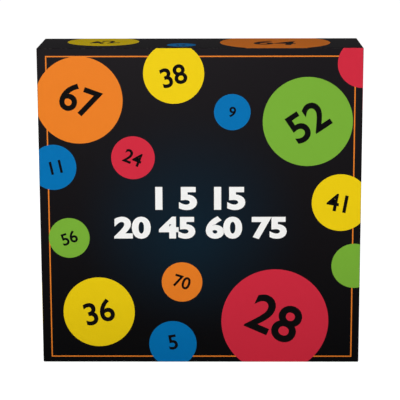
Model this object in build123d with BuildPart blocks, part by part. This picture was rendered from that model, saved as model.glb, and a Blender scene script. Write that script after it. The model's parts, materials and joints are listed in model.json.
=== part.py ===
from build123d import *
from math import cos, hypot, radians, sin, sqrt
import os

# Bingo game: a rigid set-up box that holds a hand-cranked ball tumbler, a ball board, cards and chips.
# The box stands on its lower edge. X runs along its width, Y from its printed face to its back, and
# Z upwards. The origin is on the floor under the middle of the box. Lengths are in millimetres.

# Box
box_width = 267.0
box_height = 267.0
box_depth = 70.0
board = 1.2
paper = 0.2
tape = 0.15
tape_leg = 20.0
fold_radius = 0.8
turn_in = 15.0
side_play = 0.5
bottom_play = 0.3
rim_play = 0.6

# Dividers and the row of contents above and below them
row_height_share = 92 / 259
cell_width_share = 146 / 259
leaflet_room = 4.9
play = 0.3
tab_width = 12.0
tab_play = 0.1

# Cards
card_side_room = 3.8
card_head_room = 7.8
card_front_room = 23.8
card_board = 1.5
card_gap = 0.1

# Leaflet
leaflet_width_share = 118 / 259
leaflet_height_share = 186 / 259
leaflet_side_room = 25.5
leaflet_paper = 0.25
leaflet_step = 0.45

# Ball board
ball_columns = 15
ball_rows = 5
board_side_room = 9.0
board_head_room = 5.0
pocket_land = 3.2
pocket_depth = 3.6
board_margin_side = 5.0
board_margin_end = 3.5
board_thickness = 6.0
board_corner = 1.5

# Chip tray and chips
tray_side_room = 5.0
tray_front_room = 15.3
tray_wall = 1.6
bin_count = 4
chip_diameter = 19.0
chip_thickness = 1.6
chip_gap = 0.1
chip_sides = 8
chips_in_stack = 5

# Tumbler drum, a barrel of flat panels
drum_sides = 12
drum_side_room = 3.0
drum_head_room = 14.1
drum_foot_room = 3.4
drum_wall = 1.6
drum_bevel = 1.2
grille_slots = 20
grille_inner = 17.0
grille_rim = 8.0
grille_slot_root = 2.0
grille_slot_end = 3.2
rim_slot_width = 3.2
rim_slot_land = 8.0
hub_radius = 9.0
lug_reach = 8.0
lug_width = 9.0
lug_thickness = 4.0
lug_count = 3
port_play = 1.9

# Gate of the ball port
gate_side = 17.0
gate_thickness = 1.6
gate_play = 0.3
gate_stop = 1.2
gate_grip = 2.0
rail_width = 1.6
rail_lip = 1.2

# Axle, crank and fasteners
axle_radius = 2.5
fit_play = 0.05
bush_radius = 4.5
bush_flange_radius = 6.5
bush_flange_sides = 8
bush_flange = 0.7
crank_radius = 38.0
crank_width = 13.0
crank_thickness = 4.0
crank_angle = -60.0
screw_shank = 1.2
screw_head = 2.4
screw_head_height = 1.6
screw_head_sides = 6
crank_screw_length = 8.0
knob_radius = 7.0
knob_waist = 5.6
knob_length = 9.4
knob_sides = 10
pin_radius = 2.0
pin_head_radius = 3.4
pin_head = 0.8

# Tumbler frame
foot_side_room = 16.0
foot_height = 8.0
foot_corner = 3.0
upright_thickness = 3.0
upright_base = 46.0
upright_top_radius = 13.0
upright_window_width = 12.0
upright_window_height = 26.0
upright_rib = 2.0
upright_rib_height = 0.6
tenon_width = 36.0
tenon_depth = 5.0
catch_end = 11.0
catch_depth = 5.0
catch_margin = 2.5
cup_radius = 9.0
cup_from_end = 17.0
channel_width = 14.0

# Balls
pocket_play = 1.5
ball_gap = 0.3
row_gap = 1.1

overrun = 1.0

os.makedirs("parts", exist_ok=True)


def facing(y, x=0, z=0):
    """Plane at depth y that looks out through the printed face, with X to the right and Z up."""
    return Plane(origin=(x, y, z), x_dir=(1, 0, 0), z_dir=(0, -1, 0))


def backing(y, x=0, z=0):
    """Plane at depth y that looks out through the back."""
    return Plane(origin=(x, y, z), x_dir=(1, 0, 0), z_dir=(0, 1, 0))


def save(part, name):
    """Label a finished piece and write it under its name."""
    part.label = name
    export_step(part, "parts/" + name + ".step")


# Box shells: greyboard inside, tape at the corners, paper outside and turned in over the rim
wall = paper + tape + board + paper
fold_clip = fold_radius - paper / 2
lid_depth = box_depth - rim_play
base_width = box_width - 2 * wall - 2 * side_play
base_height = box_height - 2 * wall - 2 * side_play
base_low = wall + bottom_play
base_depth = box_depth - board - paper - rim_play
lid_plane = backing(-box_depth / 2, z=box_height / 2)
base_plane = facing(box_depth / 2, z=base_low + base_height / 2)


def clipped_rectangle(width, height, clip, mode=Mode.ADD):
    """Rectangle whose corners are cut off by clip along each side."""
    near_x, far_x = width / 2 - clip, width / 2
    near_y, far_y = height / 2 - clip, height / 2
    Polygon(
        (near_x, far_y), (far_x, near_y), (far_x, -near_y), (near_x, -far_y),
        (-near_x, -far_y), (-far_x, -near_y), (-far_x, near_y), (-near_x, far_y),
        mode=mode,
    )


def board_shell(closed, width, height, depth):
    """Five greyboard panels: one closed face and four walls."""
    outer_width = width - 2 * (paper + tape)
    outer_height = height - 2 * (paper + tape)
    inward = Axis(closed.origin, closed.z_dir)
    with BuildPart() as shell:
        with BuildSketch(closed.offset(paper)):
            clipped_rectangle(outer_width, outer_height, fold_radius - paper - tape)
        extrude(amount=depth - 2 * paper)
        chamfer(shell.faces().sort_by(inward)[0].edges(), fold_radius - paper - tape)
        with BuildSketch(closed.offset(paper + board)):
            Rectangle(outer_width - 2 * board, outer_height - 2 * board)
        extrude(amount=depth, mode=Mode.SUBTRACT)
    return shell.part


def corner_tapes(closed, width, height, depth):
    """Four paper angles, one round each corner, between the board and the wrap."""
    tape_width = width - 2 * paper
    tape_height = height - 2 * paper
    with BuildPart() as tapes:
        with BuildSketch(closed.offset(fold_radius)):
            clipped_rectangle(tape_width, tape_height, fold_radius - paper)
            clipped_rectangle(
                tape_width - 2 * tape, tape_height - 2 * tape, fold_radius - paper - tape, mode=Mode.SUBTRACT
            )
            Rectangle(tape_width - 2 * tape_leg, tape_height, mode=Mode.SUBTRACT)
            Rectangle(tape_width, tape_height - 2 * tape_leg, mode=Mode.SUBTRACT)
        extrude(amount=depth - fold_radius - paper)
    return tapes.part


def paper_wrap(closed, width, height, depth):
    """One sheet of paper over the closed face and the walls, turned in over the rim."""
    inward = Axis(closed.origin, closed.z_dir)
    with BuildPart() as wrap:
        with BuildSketch(closed):
            clipped_rectangle(width, height, fold_clip)
        extrude(amount=depth)
        chamfer(wrap.faces().sort_by(inward)[0].edges(), fold_clip)
        offset(amount=-paper, openings=wrap.faces().sort_by(inward)[-1])
        with BuildSketch(closed.offset(depth - paper)):
            clipped_rectangle(width - paper, height - paper, fold_radius - paper)
            Rectangle(width - 2 * wall, height - 2 * wall, mode=Mode.SUBTRACT)
        extrude(amount=paper)
        with BuildSketch(closed.offset(depth - turn_in)):
            Rectangle(width - 2 * wall + 2 * paper, height - 2 * wall + 2 * paper)
            Rectangle(width - 2 * wall, height - 2 * wall, mode=Mode.SUBTRACT)
        extrude(amount=turn_in)
    return wrap.part


for shell_name, plane, width, height, depth in (
    ("lid", lid_plane, box_width, box_height, lid_depth),
    ("base", base_plane, base_width, base_height, base_depth),
):
    save(board_shell(plane, width, height, depth), shell_name + "_board")
    save(corner_tapes(plane, width, height, depth), shell_name + "_corner_tapes")
    save(paper_wrap(plane, width, height, depth), shell_name + "_wrap")

# Room inside the base, and the depth counted forward from its back panel
inner_width = base_width - 2 * wall
inner_height = base_height - 2 * wall
inner_low = base_low + wall
inner_top = inner_low + inner_height
row_height = row_height_share * inner_height
cell_width = cell_width_share * inner_width
floor_y = box_depth / 2 - paper - board
divider_depth = 2 * floor_y - leaflet_room
cross_low = inner_low + row_height
cross_top = cross_low + board
cell_left = -inner_width / 2
upright_left = cell_left + cell_width
cards_middle = (upright_left + board + inner_width / 2) / 2
upper_row_height = inner_top - cross_top


def ahead(distance):
    """Depth that lies a distance forward of the base's back panel."""
    return floor_y - distance


# Cross divider: a strip with two slots for the upright divider's tabs
tab_places = [ahead(divider_depth / 4), ahead(3 * divider_depth / 4)]
with BuildPart() as cross_divider:
    with BuildSketch(Plane.XY.offset(cross_low)):
        with Locations((0, ahead(divider_depth / 2))):
            Rectangle(inner_width - 2 * play, divider_depth)
        with Locations(*[(upright_left + board / 2, y) for y in tab_places]):
            Rectangle(board + 2 * tab_play, tab_width + 2 * tab_play, mode=Mode.SUBTRACT)
    extrude(amount=board)
save(cross_divider.part, "cross_divider")

# Upright divider: a strip whose tabs stand in the cross divider
upright_plane = Plane.YZ.offset(upright_left)
with BuildPart() as upright_divider:
    with BuildSketch(upright_plane):
        with Locations((ahead(divider_depth / 2), (cross_top + inner_top - play) / 2)):
            Rectangle(divider_depth, inner_top - play - cross_top)
        with Locations(*[(y, cross_top) for y in tab_places]):
            Rectangle(tab_width, board, align=(Align.CENTER, Align.MAX))
    extrude(amount=board)
save(upright_divider.part, "upright_divider")

# Bingo cards: a pack that stands on the cross divider
card_width = inner_width - cell_width - board - card_side_room
card_height = upper_row_height - card_head_room
card_count = int((divider_depth - card_front_room) / (card_board + card_gap))
with BuildPart() as bingo_cards:
    for card in range(card_count):
        card_back = ahead(play + card * (card_board + card_gap))
        with BuildSketch(facing(card_back, cards_middle, cross_top + play + card_height / 2)):
            Rectangle(card_width, card_height)
        extrude(amount=card_board)
save(bingo_cards.part, "bingo_cards")

# Rules leaflet: one sheet folded in three, standing in front of the dividers
leaflet_back = ahead(divider_depth + play)
leaflet_left = cell_left + leaflet_side_room
leaflet_end = leaflet_left + leaflet_width_share * inner_width
with BuildPart() as rules_leaflet:
    with BuildSketch(Plane.XY.offset(inner_low + play)):
        with BuildLine():
            first = leaflet_back - leaflet_paper / 2
            second = first - leaflet_step
            third = second - leaflet_step
            left = leaflet_left + leaflet_step / 2
            right = leaflet_end - leaflet_step / 2
            Line((left, first), (right, first))
            ThreePointArc((right, first), (leaflet_end, (first + second) / 2), (right, second))
            Line((right, second), (left, second))
            ThreePointArc((left, second), (leaflet_left, (second + third) / 2), (left, third))
            Line((left, third), (right, third))
        trace(line_width=leaflet_paper)
    extrude(amount=leaflet_height_share * inner_height)
save(rules_leaflet.part, "rules_leaflet")

# Chip tray: four bins in a row, in front of the base's back panel in the lower row
tray_low = inner_low + play
tray_back = ahead(play)
tray_width = inner_width - tray_side_room
tray_height = row_height - board_head_room
tray_depth = divider_depth - tray_front_room
bin_width = (tray_width - (bin_count + 1) * tray_wall) / bin_count
bin_height = tray_height - 2 * tray_wall
with BuildPart() as chip_tray:
    with BuildSketch(facing(tray_back, z=tray_low + tray_height / 2)):
        clipped_rectangle(tray_width, tray_height, tray_wall)
    extrude(amount=tray_depth)
    with BuildSketch(facing(tray_back - tray_wall, z=tray_low + tray_height / 2)):
        with GridLocations(bin_width + tray_wall, tray_height, bin_count, 1):
            Rectangle(bin_width, bin_height)
    extrude(amount=tray_depth, mode=Mode.SUBTRACT)
save(chip_tray.part, "chip_tray")
tray_front = tray_back - tray_depth

# Chips: three stacks of each colour, lying on the lower wall of their bin
with BuildPart() as chip:
    with BuildSketch(facing(0)):
        RegularPolygon(chip_diameter / 2, chip_sides)
    extrude(amount=chip_thickness)
stack_step = chip_diameter + play
stacks_in_bin = int((bin_width - play) / stack_step)
for bin_index, colour in enumerate(("red", "blue", "green", "yellow")):
    bin_middle = (bin_index - (bin_count - 1) / 2) * (bin_width + tray_wall)
    with BuildPart() as chips:
        for stack in range(stacks_in_bin):
            stack_x = bin_middle + (stack - (stacks_in_bin - 1) / 2) * stack_step
            for layer in range(chips_in_stack):
                chip_y = tray_back - tray_wall - play - layer * (chip_thickness + chip_gap)
                with Locations((stack_x, chip_y, tray_low + tray_wall + play + chip_diameter / 2)):
                    add(chip.part)
    save(chips.part, "chips_" + colour)

# Ball board: one pocket for each ball, standing in front of the chip tray
board_width = inner_width - board_side_room
board_height = row_height - board_head_room
column_pitch = (board_width - 2 * board_margin_side) / ball_columns
row_pitch = (board_height - 2 * board_margin_end) / ball_rows
pocket_side = min(column_pitch, row_pitch) - pocket_land
board_middle = facing(tray_front - play, z=tray_low + board_height / 2)
with BuildPart() as call_board:
    with BuildSketch(board_middle):
        clipped_rectangle(board_width, board_height, board_corner)
    extrude(amount=board_thickness)
    with BuildSketch(board_middle.offset(board_thickness - pocket_depth)):
        with GridLocations(column_pitch, row_pitch, ball_columns, ball_rows):
            Rectangle(pocket_side, pocket_side)
    extrude(amount=pocket_depth + overrun, mode=Mode.SUBTRACT)
save(call_board.part, "call_board")

# Tumbler: depths forward of the back panel at which each piece of the stack starts
axle_x = cell_left + cell_width / 2
foot_low = cross_top + play
lug_radius = min(
    cell_width / 2 - drum_side_room,
    (upper_row_height - play - foot_height - drum_foot_room - drum_head_room) / 2,
)
drum_flat = lug_radius - lug_reach
axle_z = foot_low + foot_height + drum_foot_room + lug_radius
back_upright_at = play
pin_head_at = divider_depth - play - pin_head
knob_at = pin_head_at - play - knob_length
crank_end = knob_at - play
crank_at = crank_end - crank_thickness
front_upright_at = crank_at - play - upright_rib_height - upright_thickness
drum_end = front_upright_at - bush_flange - play
drum_at = back_upright_at + upright_thickness + bush_flange + play
drum_width = drum_end - drum_at
parting_at = drum_at + drum_width / 2
port_at = drum_at + drum_bevel + gate_stop + gate_play + gate_side / 2
gate_travel = drum_width - 2 * drum_bevel - 2 * gate_stop - gate_side - 3 * gate_play
stop_at = port_at + gate_side / 2 + gate_travel + gate_play
corner_radius = drum_flat / cos(radians(180 / drum_sides))
inner_flat = drum_flat - drum_wall
grille_outer = drum_flat - grille_rim
rim_slot_depth = drum_width / 2 - rim_slot_land
ball_cube = pocket_side - pocket_play
port_diameter = ball_cube + port_play


def around_axle(distance):
    """Plane square to the axle, a distance forward of the base's back panel."""
    return facing(ahead(distance), axle_x, axle_z)


def drum_polygon(flat, mode=Mode.ADD):
    """Twelve-sided outline with a flat side at the top."""
    return RegularPolygon(
        flat, drum_sides, major_radius=False, rotation=180 / drum_sides, mode=mode
    )


def grille_slot():
    """One tapered vent slot of the grille."""
    Polygon(
        (grille_inner, -grille_slot_root / 2),
        (grille_outer, -grille_slot_end / 2),
        (grille_outer, grille_slot_end / 2),
        (grille_inner, grille_slot_root / 2),
        align=None,
    )


# Drum half shells: moulded panels with a grille of vent slots, joined by screws through their lugs
panel_angle = 360 / drum_sides
lug_start = 3 * panel_angle / 2
port_plane = Plane(
    origin=(axle_x, ahead(port_at), axle_z + inner_flat - overrun),
    x_dir=(1, 0, 0),
    z_dir=(0, 0, 1),
)
rail_gap = gate_side / 2 + gate_play
rail_height = gate_thickness + 2 * gate_play + rail_lip
for shell_name, outer_end, direction, rail_stop_at in (
    ("drum_back", drum_at, 1, drum_at + drum_bevel),
    ("drum_front", drum_end, -1, stop_at),
):
    face_plane = around_axle(outer_end)
    inward = Axis(face_plane.origin, face_plane.z_dir * direction)
    half = direction * drum_width / 2
    with BuildPart() as shell:
        with BuildSketch(face_plane):
            drum_polygon(drum_flat)
        extrude(amount=half)
        chamfer(shell.faces().sort_by(inward)[0].edges(), drum_bevel)
        with BuildSketch(face_plane.offset(direction * drum_wall)):
            drum_polygon(inner_flat)
        extrude(amount=half, mode=Mode.SUBTRACT)
        with BuildSketch(face_plane):
            with PolarLocations(0, grille_slots, start_angle=180 / grille_slots):
                grille_slot()
        extrude(amount=direction * (drum_wall + overrun), mode=Mode.SUBTRACT)
        with BuildSketch(face_plane):
            drum_polygon(hub_radius)
        extrude(amount=half)
        with BuildSketch(around_axle(parting_at)):
            with PolarLocations(0, drum_sides - 1, 90 + panel_angle, 360 - panel_angle):
                with Locations((inner_flat, 0)):
                    Rectangle(2 * drum_wall + overrun, rim_slot_width)
        extrude(amount=-direction * rim_slot_depth, mode=Mode.SUBTRACT)
        with BuildSketch(around_axle(parting_at)):
            with PolarLocations(corner_radius, lug_count, start_angle=lug_start):
                Rectangle(2 * (lug_radius - corner_radius), lug_width)
            drum_polygon(drum_flat - drum_wall / 2, mode=Mode.SUBTRACT)
        extrude(amount=-direction * lug_thickness)
        with BuildSketch(around_axle(parting_at)):
            with PolarLocations((corner_radius + lug_radius) / 2, lug_count, start_angle=lug_start):
                Circle(screw_shank + fit_play)
            Circle(axle_radius)
        extrude(amount=-direction * drum_width, mode=Mode.SUBTRACT)
        with BuildSketch(face_plane.offset(direction * drum_bevel)):
            for side in (-1, 1):
                with Locations((side * (rail_gap + rail_width / 2), drum_flat + rail_height / 2)):
                    Rectangle(rail_width, rail_height)
                with Locations((side * (rail_gap + (rail_width - rail_lip) / 2), drum_flat + rail_height)):
                    Rectangle(rail_width + rail_lip, rail_lip, align=(Align.CENTER, Align.MAX))
        extrude(amount=half - direction * drum_bevel)
        with BuildSketch(around_axle(rail_stop_at)):
            with Locations((0, drum_flat)):
                Rectangle(2 * rail_gap, rail_height - rail_lip, align=(Align.CENTER, Align.MIN))
        extrude(amount=gate_stop)
        if shell_name == "drum_back":
            with BuildSketch(port_plane):
                Circle(port_diameter / 2)
            extrude(amount=drum_wall + 2 * overrun, mode=Mode.SUBTRACT)
    save(shell.part, shell_name)

# Ball gate: a flat plate with a thumb rib, held under the lips of its rails
gate_plane = Plane(
    origin=(axle_x, ahead(port_at), axle_z + drum_flat + gate_play), x_dir=(1, 0, 0), z_dir=(0, 0, 1)
)
with BuildPart() as ball_gate:
    with BuildSketch(gate_plane):
        Rectangle(gate_side, gate_side)
    extrude(amount=gate_thickness)
    with BuildSketch(gate_plane.offset(gate_thickness)):
        Rectangle(gate_side - 2 * rail_lip - 2 * gate_play, gate_grip)
    extrude(amount=gate_grip)
save(ball_gate.part, "ball_gate")

# Drum screws: one through each pair of lugs
with BuildPart() as drum_screws:
    with BuildSketch(around_axle(parting_at - lug_thickness)):
        with PolarLocations((corner_radius + lug_radius) / 2, lug_count, start_angle=lug_start):
            Circle(screw_shank)
    extrude(amount=2 * lug_thickness)
    with BuildSketch(around_axle(parting_at + lug_thickness)):
        with PolarLocations((corner_radius + lug_radius) / 2, lug_count, start_angle=lug_start):
            RegularPolygon(screw_head, screw_head_sides)
    extrude(amount=screw_head_height)
save(drum_screws.part, "drum_screws")

# Axle: a steel rod, drilled at its front end for the crank's screw
with BuildPart() as drum_axle:
    with BuildSketch(around_axle(back_upright_at)):
        Circle(axle_radius - fit_play)
    extrude(amount=crank_end - back_upright_at)
    with BuildSketch(around_axle(crank_end)):
        Circle(screw_shank + fit_play)
    extrude(amount=-crank_screw_length, mode=Mode.SUBTRACT)
save(drum_axle.part, "drum_axle")

# Bushes: a flanged sleeve in each upright, with its flange towards the drum
with BuildPart() as axle_bushes:
    for sleeve_at, flange_at in (
        (back_upright_at, back_upright_at + upright_thickness),
        (front_upright_at, front_upright_at - bush_flange),
    ):
        with BuildSketch(around_axle(sleeve_at)):
            Circle(bush_radius)
        extrude(amount=upright_thickness)
        with BuildSketch(around_axle(flange_at)):
            RegularPolygon(bush_flange_radius, bush_flange_sides)
        extrude(amount=bush_flange)
    with BuildSketch(around_axle(0)):
        Circle(axle_radius)
    extrude(amount=crank_at, mode=Mode.SUBTRACT)
save(axle_bushes.part, "axle_bushes")

# Uprights: columns with a window and a raised rim, whose tenons stand in the foot
foot_top = foot_low + foot_height
for upright_name, upright_at, rib_side in (
    ("back_upright", back_upright_at, 0),
    ("front_upright", front_upright_at, 1),
):
    upright_face = around_axle(upright_at)
    with BuildPart() as upright:
        with BuildSketch(upright_face):
            with BuildLine():
                Polyline(
                    (-upright_top_radius, 0),
                    (-upright_base / 2, foot_top - axle_z),
                    (upright_base / 2, foot_top - axle_z),
                    (upright_top_radius, 0),
                )
                ThreePointArc((upright_top_radius, 0), (0, upright_top_radius), (-upright_top_radius, 0))
            make_face()
            with Locations((0, foot_top - axle_z - tenon_depth / 2)):
                Rectangle(tenon_width, tenon_depth)
            with Locations((0, (foot_top - axle_z) / 2)):
                Rectangle(upright_window_width, upright_window_height, mode=Mode.SUBTRACT)
            Circle(bush_radius, mode=Mode.SUBTRACT)
        extrude(amount=upright_thickness)
        if rib_side:
            with BuildSketch(upright_face.offset(upright_thickness)):
                Circle(bush_radius + upright_rib)
                Circle(bush_radius, mode=Mode.SUBTRACT)
            extrude(amount=upright_rib_height)
    save(upright.part, upright_name)

# Tumbler foot: a block with a catch pocket under the drum, a channel and a cup for the drawn ball
foot_width = cell_width - foot_side_room
foot_depth = divider_depth - 2 * play
catch_back = ahead(back_upright_at + upright_thickness + catch_margin)
catch_front = ahead(front_upright_at - catch_margin)
cup_y = ahead(foot_depth - cup_radius - catch_margin)
with BuildPart() as tumbler_foot:
    with BuildSketch(Plane.XY.offset(foot_low)):
        with Locations((axle_x, ahead(play + foot_depth / 2))):
            clipped_rectangle(foot_width, foot_depth, foot_corner)
    extrude(amount=foot_height)
    with BuildSketch(Plane.XY.offset(foot_top - catch_depth)):
        with Locations((axle_x, (catch_back + catch_front) / 2)):
            Rectangle(foot_width - 2 * catch_end, catch_back - catch_front)
        with Locations((axle_x + foot_width / 2 - cup_from_end, cup_y)):
            Circle(cup_radius)
            Rectangle(channel_width, catch_front - cup_y, align=(Align.CENTER, Align.MIN))
    extrude(amount=catch_depth + overrun, mode=Mode.SUBTRACT)
    with BuildSketch(Plane.XY.offset(foot_top - tenon_depth)):
        for upright_at in (back_upright_at, front_upright_at):
            with Locations((axle_x, ahead(upright_at + upright_thickness / 2))):
                Rectangle(tenon_width + 2 * fit_play, upright_thickness)
    extrude(amount=tenon_depth + overrun, mode=Mode.SUBTRACT)
save(tumbler_foot.part, "tumbler_foot")

# Crank arm: a bar from the axle to the knob's pin
crank_plane = Plane(
    origin=(axle_x, ahead(crank_at), axle_z),
    x_dir=(cos(radians(crank_angle)), 0, sin(radians(crank_angle))),
    z_dir=(0, -1, 0),
)
with BuildPart() as crank_arm:
    with BuildSketch(crank_plane):
        with Locations((crank_radius / 2, 0)):
            SlotCenterToCenter(crank_radius, crank_width)
        Circle(axle_radius, mode=Mode.SUBTRACT)
        with Locations((crank_radius, 0)):
            Circle(pin_radius, mode=Mode.SUBTRACT)
    extrude(amount=crank_thickness)
save(crank_arm.part, "crank_arm")

# Crank screw: holds the arm on the axle
with BuildPart() as crank_screw:
    with BuildSketch(around_axle(crank_end)):
        Circle(screw_shank)
    extrude(amount=-crank_screw_length + play)
    with BuildSketch(around_axle(crank_end)):
        RegularPolygon(axle_radius + screw_head_height, screw_head_sides)
    extrude(amount=screw_head_height)
save(crank_screw.part, "crank_screw")

# Knob pin: a headed pin in the crank arm, on which the knob turns
with BuildPart() as knob_pin:
    with BuildSketch(crank_plane):
        with Locations((crank_radius, 0)):
            Circle(pin_radius - fit_play)
    extrude(amount=pin_head_at - crank_at)
    with BuildSketch(crank_plane.offset(pin_head_at - crank_at)):
        with Locations((crank_radius, 0)):
            Circle(pin_head_radius)
    extrude(amount=pin_head)
save(knob_pin.part, "knob_pin")

# Crank knob: a waisted grip that turns on the pin
with BuildPart() as crank_knob:
    for share, radius, next_radius in ((0, knob_radius, knob_waist), (0.5, knob_waist, knob_radius)):
        for step, section in ((share, radius), (share + 0.5, next_radius)):
            with BuildSketch(crank_plane.offset(knob_at - crank_at + step * knob_length)):
                with Locations((crank_radius, 0)):
                    RegularPolygon(section, knob_sides)
        loft()
    with BuildSketch(crank_plane.offset(knob_at - crank_at)):
        with Locations((crank_radius, 0)):
            Circle(pin_radius)
    extrude(amount=knob_length, mode=Mode.SUBTRACT)
save(crank_knob.part, "crank_knob")

# Balls: staggered layers at rest in the bottom of the drum, in five groups of fifteen. Each is a cube
# with its edges cut back to equal facets, as large as a round ball of the same diameter
facet_share = 1 / (1 + sqrt(2))
ball_half = ball_cube / 2
ball_layer_step = ball_cube - ball_gap
layer_room = drum_width - 2 * drum_wall - 2 * ball_gap - ball_cube
ball_layers = 1 + int(layer_room / ball_layer_step)
facet_half = ball_half * facet_share
with BuildPart() as ball:
    Box(ball_cube, ball_cube, ball_cube)
    chamfer(ball.edges(), ball_half - facet_half)

ball_corner = hypot(ball_half, facet_half, facet_half)
drum_reach = inner_flat - ball_gap
lowest = sqrt(drum_reach**2 - facet_half**2) - ball_half
ball_pitch = ball_cube + row_gap
row_step = ball_pitch * sqrt(3) / 2
ball_places = []
for layer in range(ball_layers):
    layer_y = ahead(parting_at) + (layer - (ball_layers - 1) / 2) * ball_layer_step
    stagger = row_step * 2 / 3 * (layer % 2)
    spots = []
    for row in range(ball_rows * ball_layers):
        height = row * row_step + stagger - lowest
        for column in range(-ball_columns, ball_columns + 1):
            across = (column + row % 2 / 2) * ball_pitch
            outermost = max(
                hypot(abs(across) + ball_half, abs(height) + facet_half),
                hypot(abs(across) + facet_half, abs(height) + ball_half),
            )
            clear_of_hub = hypot(across, height) >= hub_radius + ball_gap + ball_corner
            if outermost <= drum_reach and clear_of_hub:
                spots.append((height, abs(across), across))
    for height, _, across in sorted(spots)[: ball_columns * ball_rows // ball_layers]:
        ball_places.append((axle_x + across, layer_y, axle_z + height))

for group in range(ball_rows):
    first = group * ball_columns + 1
    with BuildPart() as balls:
        with Locations(*ball_places[group::ball_rows]):
            add(ball.part)
    save(balls.part, "balls_" + str(first) + "_" + str(first + ball_columns - 1))
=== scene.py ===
import bpy
import json
import random
from math import radians
from mathutils import Matrix, Vector

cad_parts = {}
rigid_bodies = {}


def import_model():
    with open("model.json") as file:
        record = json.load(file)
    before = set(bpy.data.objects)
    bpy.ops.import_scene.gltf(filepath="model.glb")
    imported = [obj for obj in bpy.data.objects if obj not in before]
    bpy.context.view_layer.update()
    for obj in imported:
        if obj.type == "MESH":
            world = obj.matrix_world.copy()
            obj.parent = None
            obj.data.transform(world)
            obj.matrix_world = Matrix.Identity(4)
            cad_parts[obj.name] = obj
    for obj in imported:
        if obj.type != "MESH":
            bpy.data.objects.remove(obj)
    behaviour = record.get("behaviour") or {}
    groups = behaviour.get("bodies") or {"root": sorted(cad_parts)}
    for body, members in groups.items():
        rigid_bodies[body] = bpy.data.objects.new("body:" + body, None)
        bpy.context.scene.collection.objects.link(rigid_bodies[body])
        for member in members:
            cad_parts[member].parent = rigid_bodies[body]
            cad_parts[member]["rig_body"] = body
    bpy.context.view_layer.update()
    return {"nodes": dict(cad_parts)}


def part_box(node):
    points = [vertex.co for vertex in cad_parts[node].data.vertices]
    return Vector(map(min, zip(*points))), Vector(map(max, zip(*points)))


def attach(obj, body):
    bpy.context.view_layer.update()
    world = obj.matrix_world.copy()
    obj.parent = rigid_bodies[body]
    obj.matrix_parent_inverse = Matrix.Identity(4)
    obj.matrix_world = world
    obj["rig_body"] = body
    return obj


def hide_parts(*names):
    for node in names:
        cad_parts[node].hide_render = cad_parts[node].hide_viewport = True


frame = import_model()


# Stage: a white sweep and soft lamps
# The box was photographed as a catalogue cut-out: even light from above the camera, on pure white.
# Four square lamps stand for the studio's soft boxes, and the camera is fitted to the photo's corners.
class Flow:
    """One socket of a material's node tree. Arithmetic on it adds the nodes for that sum."""

    def __init__(self, tree, socket):
        self.tree, self.socket = tree, socket

    def node(self, kind, inputs, out=0, **settings):
        """Add a node, feed its inputs, and return one of its outputs as a Flow."""
        made = self.tree.nodes.new("ShaderNode" + kind)
        for name, value in settings.items():
            setattr(made, name, value)
        for slot, value in inputs.items():
            if isinstance(value, Flow):
                self.tree.links.new(value.socket, made.inputs[slot])
            else:
                made.inputs[slot].default_value = value
        return Flow(self.tree, made.outputs[out])

    def math(self, operation, *others):
        """This value through one Math node."""
        return self.node("Math", dict(enumerate((self,) + others)), operation=operation)

    def __add__(self, other):
        return self.math("ADD", other)

    def __sub__(self, other):
        return self.math("SUBTRACT", other)

    def __mul__(self, other):
        return self.math("MULTIPLY", other)

    def __truediv__(self, other):
        return self.math("DIVIDE", other)

    def __rsub__(self, other):
        return self.node("Math", {0: other, 1: self}, operation="SUBTRACT")

    def __rtruediv__(self, other):
        return self.node("Math", {0: other, 1: self}, operation="DIVIDE")

    __radd__, __rmul__ = __add__, __mul__

    def __lt__(self, other):
        return self.math("LESS_THAN", other)

    def __gt__(self, other):
        return self.math("GREATER_THAN", other)

    def parts(self):
        """The X, Y and Z of this vector."""
        return [self.node("SeparateXYZ", {0: self}, out=axis) for axis in range(3)]

    def mix(self, low, high):
        """Colour that goes from low to high as this value goes from 0 to 1."""
        return self.node("Mix", {0: self, 6: low, 7: high}, out=2, data_type="RGBA")

    def ramp(self, start, end, low=0.0, high=1.0):
        """This value, moved from the range start to end onto the range low to high."""
        return self.node("MapRange", {0: self, 1: start, 2: end, 3: low, 4: high})

    def noise(self, scale, detail=3.0):
        """Soft random value at this place, 0 to 1."""
        return self.node("TexNoise", {"Vector": self, "Scale": scale, "Detail": detail})


def straight_rays(tree):
    """1 where the camera, a mirror or glass looks at a surface, and 0 where light is gathered from it."""
    path = tree.nodes.new("ShaderNodeLightPath")
    seen, mirrored, through = (
        Flow(tree, path.outputs["Is " + kind + " Ray"]) for kind in ("Camera", "Glossy", "Transmission")
    )
    return seen.math("MAXIMUM", mirrored).math("MAXIMUM", through)


white = (1, 1, 1, 1)
floor_side, floor_drop = 24.0, 0.0002
floor_grey, floor_glow = (0.78, 0.78, 0.78, 1), 0.85
bpy.ops.object.select_all(action="DESELECT")
bpy.ops.mesh.primitive_plane_add(size=floor_side, location=(0, 0, -floor_drop))
floor = bpy.context.object
floor.name = "white_floor"
floor_finish = bpy.data.materials.new("white_floor")
floor_finish.use_nodes = True
floor_tree = floor_finish.node_tree
floor_tree.nodes.clear()
straight = straight_rays(floor_tree)
matt = straight.node("BsdfDiffuse", {"Color": floor_grey})
glow = straight.node("Emission", {"Color": white, "Strength": floor_glow})
lit = matt.node("AddShader", {0: matt, 1: glow})
floor_look = straight.node("MixShader", {0: straight, 1: matt, 2: lit})
floor_output = floor_tree.nodes.new("ShaderNodeOutputMaterial")
floor_tree.links.new(floor_look.socket, floor_output.inputs["Surface"])
floor.data.materials.append(floor_finish)

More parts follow.
